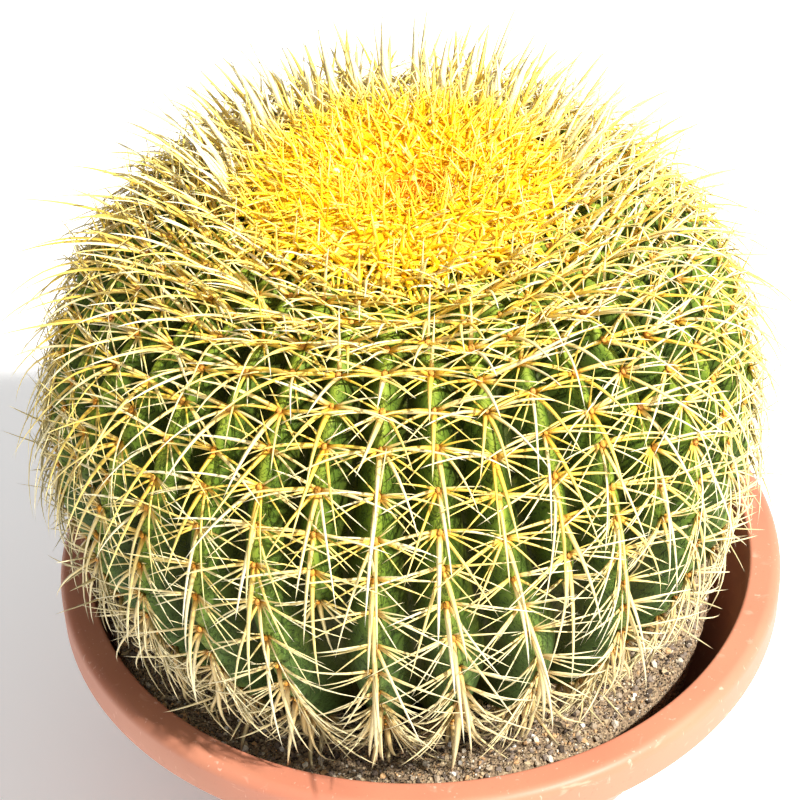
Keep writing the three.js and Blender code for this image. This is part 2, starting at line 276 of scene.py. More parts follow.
def ring_faces(rows, count, tip):
    """Faces between rows of rings, and the fan from the last ring to the tip's point."""
    column = np.arange(count)
    after = (column + 1) % count
    starts = np.arange(rows - 1)[:, None] * count
    corners = [starts + column, starts + after, starts + count + after, starts + count + column]
    last = (rows - 1) * count
    fan = np.stack([last + column, last + after, np.full(count, tip)], axis=-1)
    return np.stack(corners, axis=-1).reshape(-1, 4), fan


def rings_to_mesh(name, rings, low, high, **attributes):
    """Closed skin over rings of equal count, from the lowest ring to the highest."""
    rows, count = rings.shape[:2]
    points = np.concatenate([rings.reshape(-1, 3), [low], [high]])
    sides, lid = ring_faces(rows, count, rows * count + 1)
    column = np.arange(count)
    base = np.stack([(column + 1) % count, column, np.full(count, rows * count)], axis=-1)
    return make_mesh(name, points, [sides, lid, base], **attributes)


def arc(centre_radius, centre_height, round_radius, start, end, steps):
    """Points of a round stretch of an outline, each a radius and a height."""
    angle = np.radians(np.linspace(start, end, steps + 1))
    radius = centre_radius + round_radius * np.cos(angle)
    height = centre_height + round_radius * np.sin(angle)
    return list(zip(radius, height))


def ball(subdivisions):
    """Points and triangles of a unit ball."""
    shape = bmesh.new()
    bmesh.ops.create_icosphere(shape, subdivisions=subdivisions, radius=1)
    points = np.array([vertex.co for vertex in shape.verts])
    faces = np.array([[vertex.index for vertex in face.verts] for face in shape.faces])
    shape.free()
    return points, faces


def blobs(name, centres, axes, sizes, roughness, subdivisions, rng, **attributes):
    """One mesh of rough balls: axes are each ball's three directions, and sizes its half widths."""
    shape, faces = ball(subdivisions)
    count = len(centres)
    rough = 1 + roughness * rng.uniform(-1, 1, (count, len(shape), 1))
    local = shape[None] * rough * sizes[:, None]
    points = centres[:, None] + np.einsum("nvi,nij->nvj", local, axes)
    all_faces = faces[None] + np.arange(count)[:, None, None] * len(shape)
    spread = {key: np.repeat(values, len(shape)) for key, values in attributes.items()}
    return make_mesh(name, points.reshape(-1, 3), [all_faces.reshape(-1, 3)], **spread)


# Body surface

IS_SHORT = np.isin(np.arange(RIB_COUNT), SHORT_RIBS)


def crest_point(angle):
    """Radius and height of the crest line at an angle along the outline."""
    rising = angle >= 0
    power = np.where(rising, 2 / UPPER_POWER, 2 / LOWER_POWER)
    reach = np.where(rising, UPPER_REACH, -LOWER_REACH)
    radius = BODY_RADIUS * np.cos(angle) ** power
    height = WIDEST + reach * np.abs(np.sin(angle)) ** power
    return radius, height


LOW_ANGLE = -np.arcsin(((WIDEST - FLANK_FOOT) / LOWER_REACH) ** (LOWER_POWER / 2))
HIGH_ANGLE = np.arccos((CROWN_RADIUS / BODY_RADIUS) ** (UPPER_POWER / 2))
CROWN_EDGE = crest_point(HIGH_ANGLE)[1]
CROWN_CENTRE = PLANT + [CROWN_LEAN, 0, 0]


def crest_normal(angle):
    """Outward direction of the outline, as shares of radius and height."""
    step = 0.01
    low_radius, low_height = crest_point(angle - step)
    high_radius, high_height = crest_point(angle + step)
    length = np.hypot(high_radius - low_radius, high_height - low_height)
    return (high_height - low_height) / length, (low_radius - high_radius) / length


def rib_edges(height):
    """Turn where each rib starts and ends at a height, one row for each height."""
    height = np.atleast_1d(height)[:, None]
    grown = mix(SHORT_RIB_SHARE, 1, smooth(SHORT_RIB_GONE, SHORT_RIB_FULL, height))
    shares = np.where(IS_SHORT, grown, 1.0)
    edges = np.concatenate([np.zeros_like(height), np.cumsum(shares, axis=1)], axis=1)
    anchor = (edges[:, ANCHOR_RIB] + edges[:, ANCHOR_RIB + 1])[:, None] / 2
    return np.radians((edges - anchor) / edges[:, -1:] * 360 + ANCHOR_TURN)


def rib_sunk(rib, height):
    """How far a rib's crest has sunk to the valley beside it: 0 for a full rib."""
    sunk = np.clip((SHORT_RIB_SINKS - height) / (SHORT_RIB_SINKS - SHORT_RIB_FLAT), 0, 1)
    return np.where(IS_SHORT[rib], sunk, 0)


def relief_depth(angle):
    height = crest_point(angle)[1]
    towards_crown = smooth(RIB_DEPTH_FADES_FROM * HIGH_ANGLE, HIGH_ANGLE, angle)
    above_soil = smooth(FLANK_FOOT, FLANK_FOOT + RIB_DEPTH_GROWS_OVER, height)
    return mix(RIB_DEPTH, RIB_DEPTH_AT_CROWN, towards_crown) * above_soil


def body_point(angle, turn, inset):
    """Point at a depth under the surface that the crests follow."""
    crest, crest_height = crest_point(angle)
    outward, upward = crest_normal(angle)
    above_neck = smooth(FLANK_FOOT, FLANK_FOOT + NECK_BLEND, crest_height)
    radius = mix(NECK_RADIUS, crest, above_neck) - inset * outward
    height = crest_height - inset * upward
    lean = CROWN_LEAN * smooth(WIDEST, BODY_TOP, height)
    x = PLANT[0] + lean + radius * np.sin(turn)
    return np.stack([x, PLANT[1] - radius * np.cos(turn), height + 0 * turn], axis=-1)


def outline_walk():
    """Angles down the outline from the crown's edge, and how far along it each one lies."""
    angles = np.linspace(HIGH_ANGLE, LOW_ANGLE + FOOT_MARGIN, 2000)
    radius, height = crest_point(angles)
    steps = np.hypot(np.diff(radius), np.diff(height))
    return angles, np.concatenate([[0], np.cumsum(steps)])


def find_areoles():
    """Rib, angle and age of every areole on the ribs. Age is 0 at the crown and 1 at the soil."""
    rng = np.random.default_rng(SEED)
    angles, walked = outline_walk()
    found = []
    for rib in range(RIB_COUNT):
        lowest = SHORT_RIB_LAST_AREOLE if IS_SHORT[rib] else SOIL_TOP
        down = CROWN_MARGIN + AREOLE_SPACING * ((rib * AREOLE_STAGGER) % 1)
        for extra in np.arange(down - YOUNG_STEP, HIGHEST_AREOLE, -YOUNG_STEP):
            found.append((rib, extra))
        while down < walked[-1]:
            if crest_point(np.interp(down, walked, angles))[1] > lowest:
                found.append((rib, down))
            closeness = mix(YOUNG_SPACING, 1, smooth(0, YOUNG_SPACING_UNTIL, down / walked[-1]))
            down += AREOLE_SPACING * closeness * rng.uniform(1 - SPACING_SPREAD, 1 + SPACING_SPREAD)
    ribs, distances = np.array(found).T
    return ribs.astype(int), np.interp(distances, walked, angles), distances / walked[-1]


AREOLE_RIB, AREOLE_ANGLE, AREOLE_AGE = find_areoles()


def crest_place(rib, angle):
    """Point on a rib's own crest line."""
    height = crest_point(angle)[1]
    edges = rib_edges(height)
    row = np.arange(len(height))
    turn = (edges[row, rib] + edges[row, rib + 1]) / 2
    inset = relief_depth(angle) * rib_sunk(rib, height)
    return body_point(angle, turn, inset), turn


def areole_frames():
    """Place of each areole, and its directions to the side, up the rib and out of the body."""
    place, turn = crest_place(AREOLE_RIB, AREOLE_ANGLE)
    step = 0.03
    above, _ = crest_place(AREOLE_RIB, AREOLE_ANGLE + step)
    below, _ = crest_place(AREOLE_RIB, AREOLE_ANGLE - step)
    along = unit(above - below)
    outward = unit(np.cross(sideways(turn), along))
    return place, unit(np.cross(along, outward)), along, outward


def areole_notch(rib, angle):
    """Share of the shallow notch that each areole sits in, at points of one rib's crest line."""
    mine = AREOLE_ANGLE[AREOLE_RIB == rib]
    radius, height = crest_point(angle)
    own_radius, own_height = crest_point(mine)
    gaps = np.hypot(radius[:, None] - own_radius, height[:, None] - own_height).min(axis=1)
    return np.exp(-((gaps / NOTCH_REACH) ** 2))


def cactus_skin():
    """The ribbed body, with rounded crests, sharp valleys and a notch at each areole."""
    angle = np.linspace(LOW_ANGLE, HIGH_ANGLE, BODY_ROWS)
    height = crest_point(angle)[1]
    edges = rib_edges(height)
    depth = relief_depth(angle)
    place = np.arange(RIB_COLUMNS) / RIB_COLUMNS
    across = np.abs(2 * place - 1)
    rounded = np.hypot(np.append(across, 1), CREST_ROUNDING) - CREST_ROUNDING
    slope = rounded[:-1] / rounded[-1]
    columns, reliefs = [], []
    for rib in range(RIB_COUNT):
        sunk = rib_sunk(rib, height)[:, None]
        relief = sunk + (1 - sunk) * slope[None]
        turn = edges[:, rib, None] + (edges[:, rib + 1] - edges[:, rib])[:, None] * place
        notch = NOTCH_DEPTH * areole_notch(rib, angle)[:, None] * np.exp(-((across / NOTCH_WIDTH) ** 2))
        swell = FLANK_SWELL * smooth(0, SWELL_FULL_AT, depth)[:, None] * np.sin(np.pi * across)
        inset = depth[:, None] * relief + (notch - swell) * (1 - sunk)
        columns.append(body_point(angle[:, None], turn, inset))
        reliefs.append(relief)
    rings = np.concatenate(columns, axis=1)
    relief = np.concatenate(reliefs, axis=1)
    low = PLANT + [0, 0, SOIL_TOP - NECK_DEPTH]
    high = CROWN_CENTRE + [0, 0, CROWN_EDGE - CROWN_SEAT]
    neck = low + NECK_RADIUS * NECK_TAPER * outwards(turn_about(low, rings[0]))
    well = high + (CROWN_RADIUS - CROWN_LEDGE) * outwards(turn_about(high, rings[-1]))
    rings = np.concatenate([neck[None], rings, well[None]])
    relief = np.concatenate([relief[:1], relief, relief[-1:]])
    return rings_to_mesh("cactus_skin", rings, low, high, relief=np.append(relief, [0, 0]))


# Spines

# Each row: turn in the areole's plane from its side up the rib, in degrees, how steeply the spine
# stands out of the body, how much more so by the crown, length and width in millimetres, its curl
# towards the body and the share of the areoles that have it
RADIALS = (
    (46, 0.64, 0.30, 15, 1.0, 0.05, 0.4),
    (18, 0.58, 0.25, 23, 1.25, 0.10, 0.75),
    (-7, 0.46, 0.25, 29, 1.45, 0.22, 0.9),
    (-21, 0.48, 0.25, 26, 1.35, 0.18, 0.85),
    (-43, 0.52, 0.25, 22, 1.15, 0.12, 0.65),
)
LATERALS = ((5, 0.46, 0.30, 40, 1.85, 0.26, 1),)
CENTRALS = (
    (-92, 0.42, 2.4, 47, 2.7, 0.28, 1),
    (-128, 0.80, 1.8, 45, 1.9, 0.45, 0.35),
    (-52, 0.80, 1.8, 44, 1.8, 0.45, 0.25),
    (88, 1.05, 1.1, 33, 1.6, 0.10, 0.25),
)
SHOULDER_SPINES = (
    (-100, 3.0, 0.6, 43, 2.1, 0.35, 0.4),
    (-165, 1.1, 0.6, 40, 1.6, 0.35, 0.4),
    (-15, 1.1, 0.6, 40, 1.6, 0.35, 0.4),
)
BACK_SPINES = (
    (-90, 7.0, 0.0, 46, 5.4, 0.20, 1),
    (-150, 3.0, 0.0, 38, 2.4, 0.30, 0.4),
    (-30, 3.0, 0.0, 38, 2.4, 0.30, 0.4),
)
YOUNG_SPINES = (
    (-90, 0.9, 0.0, 33, 2.0, 0.35, 1),
    (90, 1.2, 0.0, 24, 1.5, -0.25, 0.8),
    (0, 0.9, 0.0, 27, 1.3, 0.35, 1),
    (180, 0.9, 0.0, 27, 1.3, 0.35, 1),
    (-40, 1.2, 0.0, 31, 1.7, 0.35, 1),
    (-140, 1.2, 0.0, 31, 1.7, 0.35, 1),
    (40, 1.6, 0.0, 27, 1.4, 0.25, 1),
    (140, 1.6, 0.0, 27, 1.4, 0.25, 1),
    (20, 0.5, 0.0, 24, 1.1, 0.35, 1),
    (200, 0.5, 0.0, 24, 1.1, 0.35, 1),
    (-65, 2.4, 0.0, 34, 1.9, 0.25, 1),
)

# How the spines vary
TURN_SPREAD = 6
RISE_SPREAD = 0.25
LENGTH_SPREAD = 0.11
WIDTH_SPREAD = 0.15
CURL_SPREAD = 0.4
SWAY = 0.04
DROOP = 0.8
YOUNG_TURN_SPREAD = 24
YOUNG_SWAY = 0.12
YOUNG_LENGTHS = (0.38, 0.68)
YOUNG_WIDTHS = (0.75, 1.15)

# How they change with the areole's age
YOUNG_UNTIL = 0.45
YOUNG_STRAIGHTER = 0.5
YOUNG_WIDER = 0.45
OLD_FROM = 0.5
OLD_FULL = 0.85
OLD_CURLIER = 0.5
OLD_WIDER = 0.35
OLD_LONGER = 0.15
OLD_STEEPER = 1.2
SPARSE_AGE = 0.02
FULL_AGE = 0.13
SHORTEST_THIN = 0.6
SHORTEST_CENTRAL = 0.8
PALE_AGE = 0.14
SHOULDER_AGE = 0.2
GOLD_SHIFT = 13 * MM

# Their own form, and the pushes out and up that take their tips clear of the pot
TAPER_POWER = 0.65
ROOT_FLARE = 0.15
FLARE_REACH = 0.07
PUSH_OUT = 0.10
PUSH_UP = 0.06
PUSHED_SHORTER = 0.97
MOST_PUSHES = 20


def mirrored(rows):
    """Rows of a recipe, and the same rows for the areole's other side."""
    return rows + tuple((180 - turn, *rest) for turn, *rest in rows)


def tips(spines):
    return spines["root"] + spines["length"][:, None] * (spines["direction"] + spines["bend"])


def clear_of_pot(spines):
    """Turns and shortens spines until their tips clear the soil and the pot."""
    push = PUSH_OUT * outwards(turn_about(PLANT, spines["root"])) + [0, 0, PUSH_UP]
    for _ in range(MOST_PUSHES):
        tip = tips(spines)
        over_pot = np.hypot(tip[:, 0], tip[:, 1]) > LIP_RADIUS - TIP_INSIDE_LIP
        floor = np.where(over_pot, RIM_TOP, SOIL_TOP + SOIL_UNEVENNESS) + CLEARANCE
        low = tip[:, 2] < floor
        spines["direction"][low] = unit(spines["direction"][low] + push[low])
        spines["length"][low] *= PUSHED_SHORTER


def grow_spines(frames, recipe, ages, rng, spread=TURN_SPREAD, sway=SWAY, least=1.0):
    """Spines for every areole by the recipe's rows, as arrays with one entry for each spine.

    Least is the share of the length and number that the youngest areoles have.
    """
    place, side, along, outward = (values[:, None] for values in frames)
    turn, rise, young_rise, length, width, curl, share = np.array(recipe).T
    shape = (len(ages), len(recipe))
    young = 1 - smooth(0, YOUNG_UNTIL, ages)[:, None]
    old = smooth(OLD_FROM, OLD_FULL, ages)[:, None]
    fullness = mix(least, 1, smooth(SPARSE_AGE, FULL_AGE, ages))[:, None]
    turn = np.radians(turn + rng.normal(0, spread, shape))[..., None]
    across = np.cos(turn) * side + np.sin(turn) * along
    rise = rise * rng.uniform(1 - RISE_SPREAD, 1 + RISE_SPREAD, shape) * (1 + OLD_STEEPER * old)
    direction = unit(across + (rise + young_rise * young)[..., None] * outward)
    curl = curl * rng.uniform(1 - CURL_SPREAD, 1 + 2 * CURL_SPREAD, shape)
    curl *= 1 - YOUNG_STRAIGHTER * young + OLD_CURLIER * old
    bend = -curl[..., None] * (outward + DROOP * along) + rng.normal(0, sway, (*shape, 3))
    length = length * MM * (1 + rng.normal(0, LENGTH_SPREAD, shape))
    length *= fullness * (1 + OLD_LONGER * old)
    width = width * MM * rng.uniform(1 - WIDTH_SPREAD, 1 + WIDTH_SPREAD, shape)
    width *= 1 + OLD_WIDER * old + YOUNG_WIDER * young**2
    tint = rng.uniform(0, 1, shape)
    root = place - ROOT_DEPTH * outward + ROOT_OFFSET * across
    grown = rng.random(shape) < share * fullness
    return {
        "root": root[grown],
        "direction": direction[grown],
        "bend": bend[grown],
        "normal": (outward + 0 * bend)[grown],
        "length": length[grown] + ROOT_DEPTH,
        "width": width[grown],
        "tint": tint[grown],
        "age": (ages[:, None] + 0 * tint)[grown],
    }


def spine_mesh(name, spines, rings, flatness):
    """One mesh of tapering, bending spines, each closed at its root and drawn to a tip."""
    count = len(spines["length"])
    station = np.linspace(0, 1, rings + 1)[:-1]
    share = station[None, :, None]
    length = spines["length"][:, None, None]
    direction, bend = spines["direction"][:, None], spines["bend"][:, None]
    centre = spines["root"][:, None] + length * (direction * share + bend * share**2)
    tangent = unit(direction + 2 * bend * share)
    across = unit(np.cross(tangent, spines["normal"][:, None]))
    over = flatness * np.cross(tangent, across)
    taper = (1 - station) ** TAPER_POWER * (1 + ROOT_FLARE * np.exp(-station / FLARE_REACH))
    half = (spines["width"][:, None] / 2 * taper)[:, :, None, None]
    turn = circle(SPINE_SIDES)[:, None]
    ring = np.cos(turn) * across[:, :, None] + np.sin(turn) * over[:, :, None]
    ring_points = (centre[:, :, None] + half * ring).reshape(count, -1, 3)
    points = np.concatenate([ring_points, tips(spines)[:, None]], axis=1)
    sides, fan = ring_faces(rings, SPINE_SIDES, rings * SPINE_SIDES)
    base = np.arange(SPINE_SIDES)[None, ::-1]
    offset = (np.arange(count) * points.shape[1])[:, None, None]
    groups = [(faces[None] + offset).reshape(-1, faces.shape[1]) for faces in (sides, fan, base)]
    attributes = {
        "along": np.tile(np.append(np.repeat(station, SPINE_SIDES), 1), count),
        "tint": np.repeat(spines["tint"], points.shape[1]),
        "age": np.repeat(spines["age"], points.shape[1]),
    }
    return make_mesh(name, points.reshape(-1, 3), groups, **attributes)


def pick(spines, chosen):
    return {key: values[chosen] for key, values in spines.items()}


def behind(place):
    """How far behind the crown's centre a place lies: 1 at the back and -1 at the front."""
    out = place - CROWN_CENTRE
    return out[:, 1] / np.hypot(out[:, 0], out[:, 1])


def join(spines, more):
    return {key: np.concatenate([values, more[key]]) for key, values in spines.items()}


def first_areoles(frames):
    """The youngest areole of each rib at the back and the sides of the crown."""
    _, first = np.unique(AREOLE_RIB, return_index=True)
    return first[frames[0][first, 1] > PLANT[1] - 0.3 * CROWN_RADIUS]


def body_spines(material, young_material):
    """All spines of the ribs. Those round the crown have the young spines' colour."""
    rng = np.random.default_rng(SEED + 1)
    frames = areole_frames()
    radials = grow_spines(frames, mirrored(RADIALS), AREOLE_AGE, rng, least=SHORTEST_THIN)
    centrals = grow_spines(frames, CENTRALS, AREOLE_AGE, rng, least=SHORTEST_CENTRAL)
    young = AREOLE_AGE < SHOULDER_AGE * rng.uniform(0.3, 1, len(AREOLE_AGE))
    young_frames = [values[young] for values in frames]
    shoulder = grow_spines(young_frames, SHOULDER_SPINES, AREOLE_AGE[young], rng)
    first = first_areoles(frames)
    first_frames = [values[first] for values in frames]
    pale = grow_spines(first_frames, BACK_SPINES, np.full(len(first), SHOULDER_AGE), rng)
    pale["tint"][:] = 0
    shoulder = join(shoulder, pale)
    laterals = grow_spines(frames, mirrored(LATERALS), AREOLE_AGE, rng, least=SHORTEST_THIN)
    for part in (laterals, centrals):
        part["tint"] *= 0.85
        shoulder = join(shoulder, pick(part, part["age"] < PALE_AGE))
    laterals, centrals = (pick(part, part["age"] >= PALE_AGE) for part in (laterals, centrals))
    shoulder["age"] = np.maximum(shoulder["age"], PALE_AGE)
    for part in (shoulder, radials):
        part["age"] += GOLD_SHIFT / outline_walk()[1][-1] * behind(part["root"])
    for part in (radials, laterals, centrals):
        clear_of_pot(part)
    youngest = radials["age"] < PALE_AGE
    upper = radials["root"][:, 2] > UPPER_RADIALS_FROM
    pieces = (
        ("radial_spines_young", pick(radials, youngest), 5, 0.8, young_material),
        ("radial_spines_upper", pick(radials, upper & ~youngest), 5, 0.8, material),
        ("radial_spines_lower", pick(radials, ~upper & ~youngest), 5, 0.8, material),
        ("lateral_spines", laterals, 7, 0.7, material),
        ("central_spines", centrals, 7, 0.55, material),
        ("shoulder_spines", shoulder, 7, 0.5, young_material),
    )
    for name, spines, rings, flatness, own_material in pieces:
        place_piece(spine_mesh(name, spines, rings, flatness), own_material, "spines", "cactus")


def areole_felt(material):
    """A small pad of felt at each areole, larger on the youngest."""
    rng = np.random.default_rng(SEED + 2)
    place, side, along, outward = areole_frames()
    count = len(place)
    axes = np.stack([side, along, outward], axis=1)
    sizes = FELT_SIZE * rng.uniform(0.8, 1.2, (count, 1))
    sizes *= 1 + 0.3 * smooth(0.09, 0.03, AREOLE_AGE)[:, None]
    tint = rng.uniform(0, 1, count)
    centres = place - FELT_SUNK * outward
    pads = blobs("areole_felt", centres, axes, sizes, 0.12, 2, rng, tint=tint, age=AREOLE_AGE)
    place_piece(pads, material, "crown_wool", "cactus")


# Crown


def crown_rise(share):
    """Height of the cushion over the crown's edge, at a share of the crown's radius."""
    risen = mix(CROWN_DIP, CROWN_RIM, smooth(0, CROWN_RISES_TO, share))
    return risen - CROWN_FALL * smooth(CROWN_FALLS_FROM, 1, share)


def crown_wool(material):
    """The cushion of wool that fills the sunken top."""
    ray = outwards(circle(CROWN_SIDES))
    seat = CROWN_EDGE - CROWN_SEAT + FIT_GAP
    in_seat = CROWN_RADIUS - CROWN_LEDGE - 3 * FIT_GAP
    profile = [(in_seat - CROWN_LEDGE, seat), (in_seat, CROWN_EDGE + CROWN_LEDGE)]
    profile.append((CROWN_RADIUS + CROWN_LEDGE, CROWN_EDGE + 2 * CROWN_LEDGE))
    for share in np.linspace(1, 0.04, CROWN_RINGS):
        profile.append((CROWN_RADIUS * share, CROWN_EDGE + crown_rise(share)))
    rings = np.array([ray * radius + [0, 0, height] for radius, height in profile]) + CROWN_CENTRE
    lumps = noise_at(rings.reshape(-1, 3), WOOL_LUMP_SIZE).reshape(rings.shape[:2])
    shown = smooth(0, SMOOTH_ROWS_AT_SEAT, np.arange(len(profile)))[:, None]
    rings[..., 2] += WOOL_LUMP_HEIGHT * lumps * shown
    low = CROWN_CENTRE + [0, 0, seat]
    high = CROWN_CENTRE + [0, 0, CROWN_EDGE + crown_rise(0)]
    piece = rings_to_mesh("crown_wool", rings, low, high)
    place_piece(piece, material, "crown_wool", "crown")


def crown_areoles():
    """Frames of the young areoles in their spiral, and how far out they lie as a share of the radius."""
    index = np.arange(CROWN_AREOLES)
    share = CROWN_SPREAD * np.sqrt((index + 0.7) / CROWN_AREOLES)
    turn = index * np.radians(GOLDEN_ANGLE)
    out = outwards(turn)
    place = CROWN_CENTRE + CROWN_RADIUS * share[:, None] * out
    place[:, 2] = CROWN_EDGE + crown_rise(share) - CROWN_FALL * smooth(1, CROWN_FALLS_ON_TO, share)
    side = sideways(turn)
    lean = np.radians(mix(LEAN_IN_MIDDLE, LEAN_AT_EDGE, smooth(0.1, 1.05, share)))[:, None]
    outward = np.cos(lean) * [0, 0, 1] + np.sin(lean) * out
    along = np.cross(outward, side)
    return (place, side, along, outward), share


def crown_spines(material, tuft_material):
    """The crown's young spines and tufts. The ages run from -1 in the middle to about 0."""
    rng = np.random.default_rng(SEED + 3)
    frames, share = crown_areoles()
    spines = grow_spines(frames, YOUNG_SPINES, share - 1, rng, YOUNG_TURN_SPREAD, YOUNG_SWAY)
    own_share = spines["age"] + 1
    spines["length"] *= mix(*YOUNG_LENGTHS, smooth(0.1, 0.9, own_share))
    spines["width"] *= mix(*YOUNG_WIDTHS, np.minimum(own_share, 1) ** 3)
    spines["age"] += GOLD_SHIFT / CROWN_RADIUS * behind(spines["root"])
    place_piece(spine_mesh("crown_spines", spines, 6, 0.6), material, "spines", "crown")
    axes = np.stack(frames[1:], axis=1)
    sizes = TUFT_SIZE * rng.uniform(0.7, 1.2, (CROWN_AREOLES, 1))
    tint = rng.uniform(0, 1, CROWN_AREOLES)
    tufts = blobs("crown_tufts", frames[0], axes, sizes, 0.25, 2, rng, tint=tint)
    place_piece(tufts, tuft_material, "crown_wool", "crown")


# Soil


def soil_height(x, y):
    """Height of the soil's waves, without its crumbs."""
    across, along, slant = SOIL_WAVES
    from_neck = np.hypot(x - PLANT[0], y - PLANT[1]) - NECK_RADIUS
    waves = np.sin(x / across + 1) + np.sin(y / along - x / slant)
    return SOIL_TOP + 0.5 * SOIL_UNEVENNESS * waves * smooth(CALM_ROUND_NECK, WAVY_FROM_NECK, from_neck)


def soil_crumbs(points):
    return CRUMB_HEIGHT * noise_at(points, CRUMB_SIZE)


def pot_inner_radius(height):
    """Inner radius of the bowl, whose wall leans in more and more towards its foot."""
    depth = BAND_FOOT - height
    return LIP_RADIUS - LIP_TAPER - depth * np.tan(np.radians(WALL_TAPER)) - depth**2 / (2 * WALL_CURVE)


def soil_body(material):
    """The soil with its crumbly surface and edge, and the plain hole for the plant's neck."""
    ray = outwards(circle(SOIL_SIDES))
    shift = np.array([SOIL_SHIFT, 0, 0])
    bottom = POT_FLOOR + FIT_GAP
    rings = []
    for height in np.linspace(bottom, SOIL_AT_WALL, SOIL_WALL_ROWS):
        rings.append(ray * (pot_inner_radius(height) - 3 * FIT_GAP) + [0, 0, height])
    edge = ray * SOIL_RADIUS + shift
    edge[:, 2] = soil_height(edge[:, 0], edge[:, 1]) - SOIL_ROUND
    for share in np.linspace(0, 1, SOIL_SIDE_ROWS + 1)[1:]:
        rings.append(mix(rings[SOIL_WALL_ROWS - 1], edge, share))
    neck = NECK_RADIUS + NECK_GAP
    for share in np.linspace(0, 1, SOIL_TOP_ROWS):
        centre = mix(shift, PLANT, share)
        ring = ray * mix(SOIL_RADIUS - SOIL_ROUND, neck, share) + centre
        ring[:, 2] = soil_height(ring[:, 0], ring[:, 1])
        rings.append(ring)
    rings = np.array(rings)
    side = slice(SOIL_WALL_ROWS, SOIL_WALL_ROWS + SOIL_SIDE_ROWS)
    crumbs = soil_crumbs(rings.reshape(-1, 3)).reshape(rings.shape[:2])
    fade = smooth(0, SMOOTH_ROWS_AT_NECK, len(rings) - 1 - np.arange(len(rings)))[:, None]
    rings[side.stop:, :, 2] += (crumbs * fade)[side.stop:]
    rings[side] -= ray * (FIT_GAP + SIDE_ROUGHER * np.abs(crumbs[side]))[..., None]
    hole_top = ray * neck + PLANT + [0, 0, SOIL_TOP]
    hole_middle = PLANT + [0, 0, SOIL_TOP - NECK_DEPTH - FIT_GAP]
    hole_foot = ray * (NECK_RADIUS * NECK_TAPER + NECK_GAP) + hole_middle
    rings = np.concatenate([rings, hole_top[None], hole_foot[None]])
    piece = rings_to_mesh("soil_body", rings, np.array([0, 0, bottom]), hole_middle)
    place_piece(piece, material, "soil", "soil")


def soil_grains(material):
    """Grit lying on the soil, in a few sizes."""
    rng = np.random.default_rng(SEED + 4)
    turn = rng.uniform(0, 2 * np.pi, 2 * GRAINS)
    radius = np.sqrt(rng.uniform((NECK_RADIUS * 0.98) ** 2, (SOIL_RADIUS - 2 * MM) ** 2, 2 * GRAINS))
    x = SOIL_SHIFT + radius * np.cos(turn)
    y = radius * np.sin(turn)
    bare = np.hypot(x - PLANT[0], y - PLANT[1]) > NECK_RADIUS + 4 * MM
    x, y = x[bare][:GRAINS], y[bare][:GRAINS]
    count = len(x)
    size = SMALLEST_GRAIN + GRAIN_RANGE * rng.random(count) ** 3
    centres = np.stack([x, y, soil_height(x, y)], axis=-1)
    centres[:, 2] += soil_crumbs(centres) + GRAIN_SUNK * size
    first = unit(rng.normal(size=(count, 3)))
    second = unit(np.cross(first, rng.normal(size=(count, 3))))
    axes = np.stack([first, second, np.cross(first, second)], axis=1)
    sizes = size[:, None] * rng.uniform(0.65, 1.25, (count, 3))
    piece = blobs("soil_grains", centres, axes, sizes, 0.32, 1, rng, tint=rng.random(count))
    piece.data.shade_flat()
    place_piece(piece, material, "soil", "soil")


# Pot


def pot_body(material):
    """The pot as a turned shell with its broad rim turned down outside it, and its drain holes."""
    skirt_inside = RIM_RADIUS - RIM_SKIRT
    foot_radius = pot_inner_radius(FOOT_ROUND) + POT_WALL
    outside = np.linspace(FOOT_ROUND, BAND_FOOT, POT_WALL_ROWS)
    inside = np.linspace(BAND_FOOT, POT_FLOOR, POT_WALL_ROWS)
    outline = [
        *arc(foot_radius - FOOT_ROUND, FOOT_ROUND, FOOT_ROUND, -90, -20, 5),
        *zip(pot_inner_radius(outside) + POT_WALL, outside),
        (pot_inner_radius(BAND_FOOT) + POT_WALL, RIM_TOP - RIM_SKIRT),
        (skirt_inside, RIM_TOP - RIM_SKIRT),
        (skirt_inside, BAND_FOOT),
        *arc(RIM_RADIUS - RIM_SUPPORT, BAND_FOOT + RIM_SUPPORT, RIM_SUPPORT, -90, 0, 4),
        *arc(RIM_RADIUS - RIM_ROUND, RIM_TOP - RIM_ROUND, RIM_ROUND, 0, 90, 12),
        (RIM_RADIUS - RIM_ROUND - RIM_SUPPORT, RIM_TOP),
        (LIP_RADIUS + LIP_ROUND + RIM_SUPPORT, RIM_TOP),
        *arc(LIP_RADIUS + LIP_ROUND, RIM_TOP - LIP_ROUND, LIP_ROUND, 90, 180, 6),
        *zip(pot_inner_radius(inside), inside),
    ]
    ray = outwards(circle(POT_SIDES))
    rings = np.array([ray * radius + [0, 0, height] for radius, height in outline])
    pot = rings_to_mesh("pot_body", rings, np.zeros(3), np.array([0, 0, POT_FLOOR]))
    cut_drains(pot)
    pot.data.set_sharp_from_angle(angle=np.radians(SHARP_EDGE))
    place_piece(pot, material, "pot", "pot")


